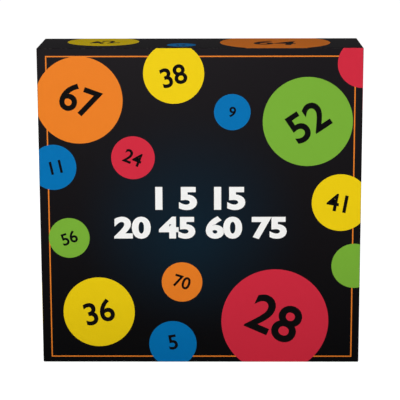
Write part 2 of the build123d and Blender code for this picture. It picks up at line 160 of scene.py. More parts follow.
room_level = 0.22
world = bpy.data.worlds.new("studio")
bpy.context.scene.world = world
world.use_nodes = True
world_tree = world.node_tree
world_tree.nodes.clear()
straight = straight_rays(world_tree)
room = straight.node("Background", {"Color": white, "Strength": room_level})
backdrop = straight.node("Background", {"Color": white, "Strength": 1.0})
world_look = straight.node("MixShader", {0: straight, 1: room, 2: backdrop})
world_output = world_tree.nodes.new("ShaderNodeOutputWorld")
world_tree.links.new(world_look.socket, world_output.inputs["Surface"])

aim = Vector((0, 0, 0.13))
for lamp_name, lamp_place, lamp_size, lamp_power in (
    ("key", (-0.20, -1.05, 0.52), 0.7, 7.9),
    ("fill", (0.80, -1.20, 0.35), 0.7, 2.8),
    ("back_left", (-1.10, 1.30, 0.40), 0.8, 6.0),
    ("back_right", (1.30, 1.00, 0.40), 0.8, 6.0),
):
    bpy.ops.object.light_add(type="AREA", location=lamp_place)
    lamp = bpy.context.object
    lamp.name = lamp_name + "_lamp"
    lamp.data.size = lamp_size
    lamp.data.energy = lamp_power
    lamp.rotation_euler = (aim - Vector(lamp_place)).to_track_quat("-Z", "Y").to_euler()

camera_place = (0.01576, -1.38295, 0.42489)
camera_yaw, camera_pitch, camera_roll = 0.01187, radians(90 - 11.919), -0.00301
camera_film, camera_lens = 36.0, 149.38
camera_data = bpy.data.cameras.new("photo_camera")
camera_data.sensor_width = camera_film
camera_data.lens = camera_lens
camera = bpy.data.objects.new("photo_camera", camera_data)
bpy.context.scene.collection.objects.link(camera)
camera.matrix_world = (
    Matrix.Translation(camera_place)
    @ Matrix.Rotation(camera_yaw, 4, "Z")
    @ Matrix.Rotation(camera_pitch, 4, "X")
    @ Matrix.Rotation(camera_roll, 4, "Z")
)
bpy.context.scene.camera = camera
bpy.context.scene.view_settings.view_transform = "Standard"


# Lid wrap: printed paper, satin varnish
# One offset-printed sheet, folded over the greyboard and turned in over the rim. The print on the face
# stops at the folds, and the sides carry print of their own. Black, with flat discs in five colours.
lid_low, lid_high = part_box("lid_wrap")
face_width, face_height = lid_high.x - lid_low.x, lid_high.z - lid_low.z
skin_inset = 0.00005
fold = 0.0009
turn_in = 0.015
paper = 0.0002
wall = 0.00175
smooth_angle = radians(35)


def paint(red, green, blue):
    """Linear colour for display values from 0 to 255."""
    shares = [value / 255 for value in (red, green, blue)]
    linear = [s / 12.92 if s <= 0.04045 else ((s + 0.055) / 1.055) ** 2.4 for s in shares]
    return (*linear, 1.0)


def shaded(colour, share):
    """A share of a colour's light."""
    return [share * value for value in colour[:3]] + [1]


def finish_of(name, **sockets):
    """A new material with a Principled shader, with its place in the object as a Flow."""
    made = bpy.data.materials.new(name)
    made.use_nodes = True
    shader = made.node_tree.nodes["Principled BSDF"]
    for socket, value in sockets.items():
        shader.inputs[socket.replace("_", " ")].default_value = value
    source = made.node_tree.nodes.new("ShaderNodeTexCoord")
    return made, shader, Flow(made.node_tree, source.outputs["Object"])


def wire(shader, **sockets):
    """Feed sockets of a shader from Flows."""
    for socket, flow in sockets.items():
        flow.tree.links.new(flow.socket, shader.inputs[socket.replace("_", " ")])


def bump(shader, height, distance, strength=1.0):
    """Feed a shader's normal from a height, with its distance in metres."""
    wire(shader, Normal=height.node("Bump", {"Height": height, "Distance": distance, "Strength": strength}))


def choose(piece, kind, chosen):
    """Leave a mesh in edit mode with those of its vertices, edges or faces selected that pass a test."""
    bpy.ops.object.mode_set(mode="EDIT")
    bpy.ops.mesh.select_mode(type=kind)
    bpy.ops.mesh.select_all(action="DESELECT")
    bpy.ops.object.mode_set(mode="OBJECT")
    mesh = piece.data
    for item in {"VERT": mesh.vertices, "EDGE": mesh.edges, "FACE": mesh.polygons}[kind]:
        item.select = chosen(item)
    bpy.ops.object.mode_set(mode="EDIT")


def span(piece, edge):
    """Length of one edge of a piece."""
    ends = [piece.data.vertices[corner].co for corner in edge.vertices]
    return (ends[0] - ends[1]).length


def wrapped_shell(name, low, high, open_side, finish):
    """Paper over a closed panel and its four walls, turned in over the open rim at +Y or -Y."""
    low, high = low + Vector((skin_inset,) * 3), high - Vector((skin_inset,) * 3)
    bpy.ops.object.select_all(action="DESELECT")
    bpy.ops.mesh.primitive_cube_add(size=1, location=(low + high) / 2, scale=high - low)
    bpy.ops.object.transform_apply(location=True, rotation=True, scale=True)
    shell = bpy.context.object
    shell.name = name
    rim_y, closed_y = (high.y, low.y) if open_side > 0 else (low.y, high.y)

    def edge_within(edge, y, ends):
        places = [shell.data.vertices[v].co.y for v in edge.vertices]
        return sum(abs(place - y) < skin_inset for place in places) >= ends

    choose(shell, "FACE", lambda face: abs(face.center.y - rim_y) < skin_inset)
    bpy.ops.mesh.delete(type="FACE")
    choose(shell, "EDGE", lambda edge: edge_within(edge, closed_y, 1))
    bpy.ops.mesh.bevel(offset=fold, segments=5, profile=0.5)
    choose(shell, "EDGE", lambda edge: edge_within(edge, rim_y, 2))
    inward = [1 - 2 * (wall - 2 * skin_inset) / (high[axis] - low[axis]) for axis in (0, 2)]
    bpy.ops.mesh.extrude_edges_move()
    bpy.ops.transform.resize(value=(inward[0], 1, inward[1]), center_override=(low + high) / 2)
    bpy.ops.mesh.extrude_edges_move(
        TRANSFORM_OT_translate={"value": (0, -open_side * turn_in, 0), "orient_type": "GLOBAL"}
    )
    bpy.ops.object.mode_set(mode="OBJECT")
    thickness = shell.modifiers.new("paper", "SOLIDIFY")
    thickness.thickness = paper - skin_inset
    thickness.offset = -1.0
    bpy.ops.object.modifier_apply(modifier="paper")
    bpy.ops.object.shade_smooth_by_angle(angle=smooth_angle)
    shell.data.materials.append(finish)
    return shell


red, yellow, green = paint(203, 42, 62), paint(233, 201, 16), paint(117, 170, 54)
orange, blue = paint(229, 124, 36), paint(2, 109, 172)
# The two blacks are the top and foot of a painted sheen on the black ground; navy is its printed tint
sheen_black_top, sheen_black_foot, navy = paint(23, 20, 23), paint(2, 2, 3), paint(9, 30, 43)
line_orange, bare_paper, black = paint(232, 128, 42), paint(120, 118, 114), (0, 0, 0, 1)
# Discs of the face: middle from the face's lower left corner, radius, colour
face_discs = (
    (0.034, 0.224, 0.036, orange),
    (0.112, 0.246, 0.025, yellow),
    (0.160, 0.214, 0.015, blue),
    (0.222, 0.206, 0.037, green),
    (0.266, 0.254, 0.020, red),
    (0.078, 0.176, 0.018, red),
    (0.012, 0.168, 0.019, blue),
    (0.250, 0.138, 0.024, yellow),
    (0.024, 0.108, 0.017, green),
    (0.196, 0.036, 0.045, red),
    (0.048, 0.044, 0.030, yellow),
    (0.118, 0.070, 0.017, orange),
    (0.110, 0.016, 0.020, blue),
    (0.262, 0.084, 0.019, green),
)
# Discs of the four sides, with the sides folded out flat around the face
side_discs = (
    (0.196, 0.306, 0.046, orange),
    (0.118, 0.288, 0.012, blue),
    (0.052, 0.312, 0.030, yellow),
    (0.090, -0.040, 0.030, blue),
    (0.205, -0.034, 0.040, red),
    (-0.036, 0.052, 0.040, yellow),
    (-0.030, 0.140, 0.022, red),
    (-0.040, 0.222, 0.034, blue),
    (0.303, 0.060, 0.036, green),
    (0.297, 0.146, 0.020, orange),
    (0.306, 0.232, 0.042, red),
)
# Frame line of the face: left, foot, right and head of its middle, and its width
frame_line = (0.0076, 0.0052, 0.2604, 0.2600)
frame_line_width = 0.00098

lid_print, lid_shader, place = finish_of(
    "printed_paper", Specular_IOR_Level=0.0, Coat_Weight=0.05, Coat_Roughness=0.38
)
x, y, z = place.parts()
behind = y - lid_low.y
from_left, from_right = x - lid_low.x, lid_high.x - x
from_foot, from_top = z - lid_low.z, lid_high.z - z
nearest_side = from_left.math("MINIMUM", from_right).math("MINIMUM", from_foot).math("MINIMUM", from_top)
on_face = behind < nearest_side
nearly = 0.000001
on_left, on_right, on_foot, on_top = (
    distance < nearest_side + nearly for distance in (from_left, from_right, from_foot, from_top)
)
folded = behind * (1 - on_face)
across = from_left + folded * (on_right - on_left)
up = from_foot + folded * (on_top - on_foot)
flat_place = across.node("CombineXYZ", {0: across, 1: up})


def distance_to(place, point):
    """Distance of a place to a fixed point."""
    return place.node("VectorMath", {0: place, 1: point}, out="Value", operation="DISTANCE")


def discs_over(ground, sheet, discs):
    """Printed discs over a ground colour, by their places on a flat sheet."""
    colour = ground
    for disc_x, disc_z, radius, disc_colour in discs:
        colour = (distance_to(sheet, (disc_x, disc_z, 0)) < radius).mix(colour, disc_colour)
    return colour


glow_middle, glow_reach = (0.125, 0.122, 0), 0.105
navy_glow = distance_to(flat_place, glow_middle).ramp(0.0, glow_reach, 1.0, 0.0)
navy_glow = navy_glow * navy_glow * (3 - navy_glow * 2)
navy_glow = navy_glow * flat_place.noise(9.0, 1.0).ramp(0.35, 0.65, 0.8, 1.0)
# Painted sheen: the black ground goes from a lighter black at the top to nearly pure black at the foot, for
# an overhead light's reflection that fades downwards
black_ground = navy_glow.mix(up.ramp(0.0, face_height).mix(sheen_black_foot, sheen_black_top), navy)
middle_x, middle_z = (frame_line[0] + frame_line[2]) / 2, (frame_line[1] + frame_line[3]) / 2
beyond_line = (
    (across - middle_x).math("ABSOLUTE") - (frame_line[2] - frame_line[0]) / 2
).math("MAXIMUM", (up - middle_z).math("ABSOLUTE") - (frame_line[3] - frame_line[1]) / 2)
in_line = beyond_line.math("ABSOLUTE") < frame_line_width / 2
face_colour = discs_over(in_line.mix(black_ground, line_orange), flat_place, face_discs)
side_colour = discs_over(black_ground, flat_place, side_discs)
fold_zone = nearest_side.math("MAXIMUM", behind) < fold
wear, wear_share = place.noise(700.0, 4.0).ramp(0.5, 0.75), 0.15
# Painted shade: the lowest part of the face and sides is mixed a little towards black, for light that falls
# off towards the foot
painted_shade_reach, painted_shade_depth = 0.11, 0.13
lid_colour = on_face.mix(side_colour, face_colour)
lid_colour = up.ramp(0.0, painted_shade_reach, painted_shade_depth, 0.0).mix(lid_colour, black)
lid_colour = (fold_zone * wear * wear_share).mix(lid_colour, bare_paper)
wire(lid_shader, Base_Color=lid_colour)
wire(lid_shader, Roughness=place.noise(55.0, 2.0).ramp(0.3, 0.7, 0.55, 0.65))
# The corner tabs under the paper show as a faint step on the left and right sides
tab_reach, tab_step, tab_rise = 0.013, 0.0004, 10.0
over_tab = from_top.math("MINIMUM", from_foot).ramp(tab_reach, tab_reach + tab_step, 1.0, 0.0)
over_tab = over_tab * (on_left + on_right)
paper_grain, grain_height = place.noise(1400.0, 3.0), 0.00001
bump(lid_shader, paper_grain + over_tab * tab_rise, grain_height, 0.25)
lid_wrap = wrapped_shell("lid_wrap_printed", lid_low, lid_high, 1, lid_print)
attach(lid_wrap, "lid")
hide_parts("lid_wrap")


# Lid print: figures on the discs
# Bold black figures, one number on each disc, turned this way and that, and two rows of off-white
# figures across the middle. They are ink printed over the colours.
ink = 0.00002
ink_lift = ink / 4


def figures(words, height, spot, widen=1.0, weight=0.02):
    """Flat figures of a given height, moved from the plane that faces -Y to a spot matrix."""
    bpy.ops.object.select_all(action="DESELECT")
    bpy.ops.object.text_add()
    made = bpy.context.object
    made.data.body = words
    made.data.offset = weight
    made.data.resolution_u = 5
    bpy.ops.object.convert(target="MESH")
    made = bpy.context.object
    bpy.ops.object.mode_set(mode="EDIT")
    bpy.ops.mesh.select_all(action="SELECT")
    bpy.ops.mesh.beautify_fill(angle_limit=radians(180))
    bpy.ops.object.mode_set(mode="OBJECT")
    corners = [Vector(corner) for corner in made.bound_box]
    low = Vector([min(c[axis] for c in corners) for axis in range(3)])
    high = Vector([max(c[axis] for c in corners) for axis in range(3)])
    scale = height / (high.y - low.y)
    made.matrix_world = (
        spot
        @ Matrix.Rotation(radians(90), 4, "X")
        @ Matrix.Diagonal((scale * widen, scale, 1, 1))
        @ Matrix.Translation(-(low + high) / 2)
    )
    bpy.ops.object.transform_apply(location=True, rotation=True, scale=True)
    return made


def sheet_spot(across, up, turn):
    """Spot on the folded sheet, from a place on the flat one."""
    right, upward, corner = Vector((1, 0, 0)), Vector((0, 0, 1)), lid_low.copy()
    if across < 0:
        right = Vector((0, -1, 0))
    elif across > face_width:
        right, across, corner.x = Vector((0, 1, 0)), across - face_width, lid_high.x
    elif up < 0:
        upward = Vector((0, -1, 0))
    elif up > face_height:
        upward, up, corner.z = Vector((0, 1, 0)), up - face_height, lid_high.z
    inward = -right.cross(upward)
    place = corner + right * across + upward * up + inward * (skin_inset + ink_lift)
    axes = Matrix((right, inward, upward)).transposed().to_4x4()
    return Matrix.Translation(place) @ axes @ Matrix.Rotation(radians(turn), 4, "Y")


def joined(pieces, name, finish):
    """One object made of several, with one finish."""
    bpy.ops.object.select_all(action="DESELECT")
    for piece in pieces:
        piece.select_set(True)
    bpy.context.view_layer.objects.active = pieces[0]
    bpy.ops.object.join()
    whole = bpy.context.object
    whole.name = name
    whole.data.materials.clear()
    whole.data.materials.append(finish)
    return whole


def printed(pieces, name, finish):
    """Flat figures joined into one layer of ink, which stands out by its thickness."""
    layer = joined(pieces, name, finish)
    thickness = layer.modifiers.new("ink", "SOLIDIFY")
    thickness.thickness = ink
    thickness.offset = 1.0
    bpy.ops.object.modifier_apply(modifier="ink")
    bpy.ops.object.shade_smooth_by_angle(angle=smooth_angle)
    return layer


def ink_finish(name, colour):
    """Printed ink: a flat colour that the paper's grain breaks up a little."""
    made, shader, at = finish_of(
        name, Specular_IOR_Level=0.0, Roughness=0.6, Coat_Weight=0.05, Coat_Roughness=0.38
    )
    grain = at.noise(1800.0, 2.0).ramp(0.3, 0.7)
    wire(shader, Base_Color=grain.mix(colour, shaded(colour, 0.92)))
    return made


black_ink = ink_finish("black_ink", paint(5, 4, 5))
white_ink = ink_finish("white_ink", paint(246, 246, 244))
# Number, height, place on the flat sheet, and turn in degrees
disc_figures = (
    ("67", 0.0245, 0.0350, 0.2240, 20),
    ("38", 0.0165, 0.1120, 0.2440, -16),
    ("9", 0.0090, 0.1600, 0.2140, 14),
    ("52", 0.0255, 0.2220, 0.2060, -34),
    ("24", 0.0115, 0.0780, 0.1760, 22),
    ("11", 0.0110, 0.0140, 0.1680, -12),
    ("41", 0.0150, 0.2470, 0.1380, 10),
    ("56", 0.0105, 0.0240, 0.1080, -20),
    ("28", 0.0330, 0.1960, 0.0380, 24),
    ("36", 0.0200, 0.0480, 0.0440, -14),
    ("70", 0.0110, 0.1180, 0.0700, 18),
    ("5", 0.0130, 0.1100, 0.0175, -10),
    ("64", 0.0270, 0.1960, 0.3020, 10),
    ("12", 0.0070, 0.1180, 0.2880, -12),
    ("42", 0.0180, 0.0520, 0.3080, -20),
    ("8", 0.0200, 0.0900, -0.0380, 14),
    ("21", 0.0230, 0.2050, -0.0350, -16),
    ("35", 0.0260, -0.0350, 0.0520, 24),
    ("17", 0.0140, -0.0300, 0.1400, -18),
    ("3", 0.0220, -0.0380, 0.2220, 10),
    ("49", 0.0220, 0.3020, 0.0600, -26),
    ("72", 0.0120, 0.2970, 0.1460, 14),
    ("26", 0.0260, 0.3030, 0.2320, -10),
)
disc_pieces = [
    figures(words, height, sheet_spot(across, up, turn))
    for words, height, across, up, turn in disc_figures
]
lid_numbers = printed(disc_pieces, "lid_disc_numbers", black_ink)
# Rows across the middle, with their heights above the face's foot
title_rows = (("1 5 15", 0.1416), ("20 45 60 75", 0.1168))
title_height, title_widen, title_weight = 0.0196, 1.25, 0.045
title_pieces = [
    figures(words, title_height, sheet_spot(face_width / 2, up, 0), title_widen, title_weight)
    for words, up in title_rows
]
lid_title = printed(title_pieces, "lid_title_numbers", white_ink)
for piece in (lid_numbers, lid_title):
    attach(piece, "lid")


# Base wrap: plain black paper
# The base is covered with the same kind of paper, black throughout and unprinted. Its back shows when
# the box is turned round, and its walls only once the lid is off.
base_print, base_shader, place = finish_of(
    "plain_black_paper", Specular_IOR_Level=0.0, Coat_Weight=0.12, Coat_Roughness=0.5
)
mottle = place.noise(24.0, 2.0).ramp(0.3, 0.7)
wire(base_shader, Base_Color=mottle.mix(paint(20, 20, 21), paint(25, 25, 26)))
wire(base_shader, Roughness=mottle.ramp(0.0, 1.0, 0.6, 0.7))
bump(base_shader, place.noise(1400.0, 3.0), grain_height, 0.35)
base_wrap = wrapped_shell("base_wrap_plain", *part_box("base_wrap"), -1, base_print)
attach(base_wrap, "base")
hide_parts("base_wrap")


# Boards, corner tapes and dividers
# Greyboard is pressed from waste paper, so it is flecked with fibres. The dividers are of a lighter
# board, lined on both faces, and the tapes that hold the corners are brown gummed paper.
def dressed(finish, *nodes):
    """Give CAD nodes that stay in view a finish."""
    for node in nodes:
        mesh = frame["nodes"][node].data
        mesh.materials.clear()
        mesh.materials.append(finish)


def pulp(name, light, dark, fleck):
    """Uncoated board or paper: mottled, with short fibres and flecks."""
    made, shader, at = finish_of(name, Specular_IOR_Level=0.25, Roughness=0.88)
    mottled = at.noise(60.0, 4.0).ramp(0.3, 0.7).mix(dark, light)
    flecked = (at.noise(1300.0, 2.0).ramp(0.66, 0.72) * 0.7).mix(mottled, fleck)
    wire(shader, Base_Color=flecked)
    bump(shader, at.noise(900.0, 4.0), 0.00003, 0.6)
    return made


greyboard = pulp("greyboard", paint(176, 170, 160), paint(163, 157, 147), paint(96, 92, 88))
dressed(greyboard, "lid_board", "base_board")
divider_board = pulp("divider_board", paint(206, 202, 194), paint(194, 190, 181), paint(138, 132, 124))
dressed(divider_board, "cross_divider", "upright_divider")
tape_paper = pulp("gummed_tape", paint(178, 142, 98), paint(164, 129, 88), paint(120, 92, 60))
dressed(tape_paper, "lid_corner_tapes", "base_corner_tapes")


# Leaflet: one sheet folded in three
# White uncoated paper, folded over and under in round bends. Its front has a black band with five discs,
# and the grid of an empty card.
leaflet_low, leaflet_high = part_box("rules_leaflet")
leaflet_width, leaflet_height = leaflet_high.x - leaflet_low.x, leaflet_high.z - leaflet_low.z
leaflet_margin, band_height, leaflet_disc, disc_margin = 0.008, 0.036, 0.0078, 0.014
grid_cell, grid_low, grid_line = 0.019, 0.026, 0.0004
leaf_paper, leaf_front = 0.00025, 0.0003
leaflet_paper, leaflet_shader, place = finish_of("leaflet_paper", Specular_IOR_Level=0.1, Roughness=0.8)
x, y, z = place.parts()
front = y < leaflet_low.y + leaf_front
across, up = x - leaflet_low.x, z - leaflet_low.z
flat_place = across.node("CombineXYZ", {0: across, 1: up})


def within(value, low, high):
    """1 where a value lies between two others."""
    return (value > low) * (value < high)


def disc_row(left, step, middle, radius):
    """Five discs in a row, one in each colour of the game."""
    return [
        (left + step * (count + 0.5), middle, radius, colour)
        for count, colour in enumerate((blue, red, yellow, green, orange))
    ]


def grid_lines(across, up, left, low, cell, cells, line):
    """Lines of a square grid, counted from its lower left corner."""
    in_grid = within(across, left - line, left + cells * cell + line)
    in_grid = in_grid * within(up, low - line, low + cells * cell + line)
    near = None
    for value, start in ((across, left), (up, low)):
        offset = ((value - start) / cell + 0.5).math("FRACT") - 0.5
        close = offset.math("ABSOLUTE") < line / cell
        near = close if near is None else near.math("MAXIMUM", close)
    return near * in_grid


white_paper = place.noise(40.0, 3.0).ramp(0.3, 0.7).mix(paint(236, 235, 230), paint(243, 242, 238))
band_high = leaflet_height - leaflet_margin
band_low = band_high - band_height
in_band = within(up, band_low, band_high) * within(across, leaflet_margin, leaflet_width - leaflet_margin)
disc_step = (leaflet_width - 2 * disc_margin) / 5
leaflet_discs = disc_row(disc_margin, disc_step, (band_low + band_high) / 2, leaflet_disc)
leaflet_colour = discs_over(in_band.mix(white_paper, paint(24, 24, 26)), flat_place, leaflet_discs)
leaflet_grid = grid_lines(
    across, up, (leaflet_width - 5 * grid_cell) / 2, grid_low, grid_cell, 5, grid_line
)
leaflet_colour = leaflet_grid.mix(leaflet_colour, paint(40, 40, 42))
wire(leaflet_shader, Base_Color=front.mix(white_paper, leaflet_colour))
bump(leaflet_shader, place.noise(1100.0, 3.0), 0.00002, 0.4)

leaf_pitch = (leaflet_high.y - leaflet_low.y - leaf_paper) / 2
bend = (leaf_pitch + leaf_paper) / 2
leaf_low, leaf_high = leaflet_low.z + bend, leaflet_high.z - bend
leaf_middle = (leaflet_low + leaflet_high) / 2
first_leaf = leaflet_low.y + leaf_paper / 2
bpy.ops.object.select_all(action="DESELECT")
bpy.ops.mesh.primitive_plane_add(size=1, location=(leaf_middle.x, first_leaf, leaf_middle.z))
leaflet = bpy.context.object
leaflet.name = "rules_leaflet_folded"
leaflet.rotation_euler.x = radians(90)
leaflet.scale = (leaflet_width, leaf_high - leaf_low, 1)
bpy.ops.object.transform_apply(location=True, rotation=True, scale=True)


def edge_middle(piece, edge):
    """Middle of one edge of a piece."""
    ends = [piece.data.vertices[corner].co for corner in edge.vertices]
    return (ends[0] + ends[1]) / 2


for side, end, next_end in ((-1, leaf_high, leaf_low), (1, leaf_low, leaf_high)):
    leaf_y = first_leaf + (side + 1) / 2 * leaf_pitch
    fold_line = Vector((leaf_middle.x, leaf_y, end))
    choose(leaflet, "EDGE", lambda edge: (edge_middle(leaflet, edge) - fold_line).length < leaf_paper)
    bend_middle = (leaf_middle.x, leaf_y + leaf_pitch / 2, end)
    bpy.ops.mesh.spin(steps=8, angle=radians(180), center=bend_middle, axis=(side, 0, 0))
    bpy.ops.mesh.extrude_edges_move(
        TRANSFORM_OT_translate={"value": (0, 0, next_end - end), "orient_type": "GLOBAL"}
    )
    bpy.ops.mesh.select_all(action="SELECT")
    bpy.ops.mesh.normals_make_consistent(inside=False)
    bpy.ops.object.mode_set(mode="OBJECT")
sheet = leaflet.modifiers.new("paper", "SOLIDIFY")
sheet.thickness = leaf_paper
sheet.offset = 0
bpy.ops.object.modifier_apply(modifier="paper")
bpy.ops.object.shade_smooth_by_angle(angle=smooth_angle)
leaflet.data.materials.append(leaflet_paper)
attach(leaflet, "leaflet")
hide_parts("rules_leaflet")


# Cards: 24 printed boards
# Square grid cards with rounded corners, packed face to the front. Only the top one shows its print:
# a black band with five discs, 24 numbers, and a red disc on the free place.
card_low, card_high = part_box("bingo_cards")
card_width, card_height = card_high.x - card_low.x, card_high.z - card_low.z
card_thickness, card_gap, card_corner, card_front = 0.0015, 0.0001, 0.004, 0.0002
card_cell, card_line, card_margin, card_grid_low = 0.0192, 0.0004, 0.006, 0.0115
band_disc, free_disc, card_figure = 0.0082, 0.0074, 0.0092
card_left = (card_width - 5 * card_cell) / 2
band_low, band_high = card_grid_low + 5 * card_cell + card_margin, card_height - card_margin
card_board, card_shader, place = finish_of("card_board", Specular_IOR_Level=0.12, Roughness=0.5)
x, y, z = place.parts()
front = y < card_low.y + card_front
across, up = x - card_low.x, z - card_low.z
flat_place = across.node("CombineXYZ", {0: across, 1: up})
print_black = paint(22, 22, 24)
edge_colour = place.noise(700.0, 3.0).ramp(0.35, 0.65).mix(paint(208, 203, 192), paint(186, 180, 168))
face_ground = place.noise(30.0, 2.0).ramp(0.3, 0.7).mix(paint(240, 239, 234), paint(246, 245, 241))
in_band = within(up, band_low, band_high) * within(across, card_margin, card_width - card_margin)
card_discs = disc_row(card_left, card_cell, (band_low + band_high) / 2, band_disc)
card_discs.append((card_left + card_cell * 2.5, card_grid_low + card_cell * 2.5, free_disc, red))
card_colour = discs_over(in_band.mix(face_ground, print_black), flat_place, card_discs)
card_grid = grid_lines(across, up, card_left, card_grid_low, card_cell, 5, card_line)
card_colour = card_grid.mix(card_colour, print_black)
wire(card_shader, Base_Color=front.mix(edge_colour, card_colour))
bump(card_shader, place.noise(800.0, 3.0), 0.00002, 0.3)
card_count = round((card_high.y - card_low.y + card_gap) / (card_thickness + card_gap))
card_slack = 0.0003
chance = random.Random(75)
cards = []
for count in range(card_count):
    slack = card_slack * min(count, 1)
    shift = Vector((chance.uniform(-slack, slack), 0, 0))
    bpy.ops.object.select_all(action="DESELECT")
    middle = Vector(((card_low.x + card_high.x) / 2, 0, (card_low.z + card_high.z) / 2)) + shift
    middle.y = card_low.y + card_thickness / 2 + count * (card_thickness + card_gap)
    size = (card_width - 2 * slack, card_thickness, card_height)
    bpy.ops.mesh.primitive_cube_add(size=1, location=middle, scale=size)
    bpy.ops.object.transform_apply(location=True, rotation=True, scale=True)
    card = bpy.context.object
    choose(card, "EDGE", lambda edge: span(card, edge) < 2 * card_thickness)
    bpy.ops.mesh.bevel(offset=card_corner, segments=5)
    bpy.ops.object.mode_set(mode="OBJECT")
    cards.append(card)
card_pack = joined(cards, "card_pack", card_board)
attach(card_pack, "cards")
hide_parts("bingo_cards")

card_figures = []
for column in range(5):
    picked = sorted(chance.sample(range(15 * column + 1, 15 * column + 16), 5))
    for row, number in enumerate(picked):
        if (column, row) == (2, 2):
            continue
        spot = Vector((
            card_low.x + card_left + card_cell * (column + 0.5),
            card_low.y + ink_lift,
            card_low.z + card_grid_low + card_cell * (4.5 - row),
        ))
        card_figures.append(figures(str(number), card_figure, Matrix.Translation(spot)))
card_numbers = printed(card_figures, "card_numbers", black_ink)
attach(card_numbers, "cards")


# Ball board: seventy-five round cups
# A moulded board with a shallow cup for each ball, and each ball's number printed at the bottom of its
# cup. The cups are cut by rows of spheres, and their mouths are eased.
board_low, board_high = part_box("call_board")
board_columns, board_rows = 15, 5
board_margin = (0.005, 0.0035)
cup_depth, cup_mouth = 0.0036, 0.0061
cup_figure, figure_lift = 0.0044, 0.0006
board_edge = 0.0004
sharp_angle = radians(40)
cup_radius = (cup_mouth**2 + cup_depth**2) / (2 * cup_depth)
pitch = [
    (board_high[axis] - board_low[axis] - 2 * margin) / cells
    for axis, margin, cells in zip((0, 2), board_margin, (board_columns, board_rows))
]
first_cup = Vector((
    board_low.x + board_margin[0] + pitch[0] / 2,
    board_low.y + cup_depth - cup_radius,
    board_low.z + board_margin[1] + pitch[1] / 2,
))


def moulded(name, colour, roughness, grain, **sockets):
    """Moulded plastic: even colour, with the slight grain of its mould."""
    made, shader, at = finish_of(name, **sockets)
    cloud = at.noise(90.0, 3.0).ramp(0.3, 0.7)
    wire(shader, Base_Color=cloud.mix(colour, shaded(colour, 0.94)))
    wire(shader, Roughness=cloud.ramp(0.0, 1.0, roughness, roughness + 0.07))
    bump(shader, at.noise(grain, 3.0), 0.00002, 0.3)
    return made


board_plastic = moulded("ball_board_plastic", paint(24, 31, 45), 0.42, 1500.0, Specular_IOR_Level=0.3)
bpy.ops.object.select_all(action="DESELECT")
bpy.ops.mesh.primitive_cube_add(size=1, location=(board_low + board_high) / 2, scale=board_high - board_low)
bpy.ops.object.transform_apply(location=True, rotation=True, scale=True)
ball_board = bpy.context.object
ball_board.name = "ball_board_moulded"
bpy.ops.mesh.primitive_uv_sphere_add(segments=24, ring_count=16, radius=cup_radius, location=first_cup)
cutter = bpy.context.object
for axis, cells in ((0, board_columns), (2, board_rows)):
    row_of = cutter.modifiers.new("row", "ARRAY")
    row_of.count = cells
    row_of.use_relative_offset = False
    row_of.use_constant_offset = True
    row_of.constant_offset_displace = (pitch[0], 0, 0) if axis == 0 else (0, 0, pitch[1])
    bpy.ops.object.modifier_apply(modifier="row")
bpy.context.view_layer.objects.active = ball_board
cups = ball_board.modifiers.new("cups", "BOOLEAN")
cups.operation = "DIFFERENCE"
cups.object = cutter
cups.solver = "EXACT"
bpy.ops.object.modifier_apply(modifier="cups")
bpy.data.objects.remove(cutter)
rounding = ball_board.modifiers.new("rounding", "BEVEL")
rounding.width = board_edge
rounding.segments = 2
rounding.limit_method = "ANGLE"
rounding.angle_limit = sharp_angle
bpy.ops.object.modifier_apply(modifier="rounding")
bpy.ops.object.shade_smooth_by_angle(angle=smooth_angle)
ball_board.data.materials.append(board_plastic)
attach(ball_board, "ball_board")
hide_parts("call_board")


finest_span = 0.0008


def cut_fine(layer):
    """Halve the long edges of flat figures until they can follow a curve."""
    for halving in range(4):
        choose(layer, "EDGE", lambda edge: span(layer, edge) > finest_span)
        bpy.ops.mesh.subdivide(number_cuts=1)
        bpy.ops.mesh.select_all(action="SELECT")
        bpy.ops.mesh.quads_convert_to_tris()
        bpy.ops.object.mode_set(mode="OBJECT")


cup_figures = []
for number in range(1, board_columns * board_rows + 1):
    row, column = divmod(number - 1, board_columns)
    spot = Vector((
        first_cup.x + column * pitch[0],
        board_low.y + cup_depth - figure_lift,
        first_cup.z + (board_rows - 1 - row) * pitch[1],
    ))
    cup_figures.append(figures(str(number), cup_figure, Matrix.Translation(spot)))
board_numbers = joined(cup_figures, "ball_board_numbers", white_ink)
cut_fine(board_numbers)
wrap = board_numbers.modifiers.new("laid", "SHRINKWRAP")
wrap.target = ball_board
wrap.wrap_method = "NEAREST_SURFACEPOINT"
wrap.wrap_mode = "ABOVE_SURFACE"
wrap.offset = ink
bpy.ops.object.modifier_apply(modifier="laid")
board_numbers = printed([board_numbers], "ball_board_numbers", white_ink)
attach(board_numbers, "ball_board")


# Chip tray and chips
# A moulded tray with four bins, and stacks of translucent bingo markers in four colours. Moulded pieces
# have a small radius on every edge, which the plain solids leave out.
merge_reach = 0.000002


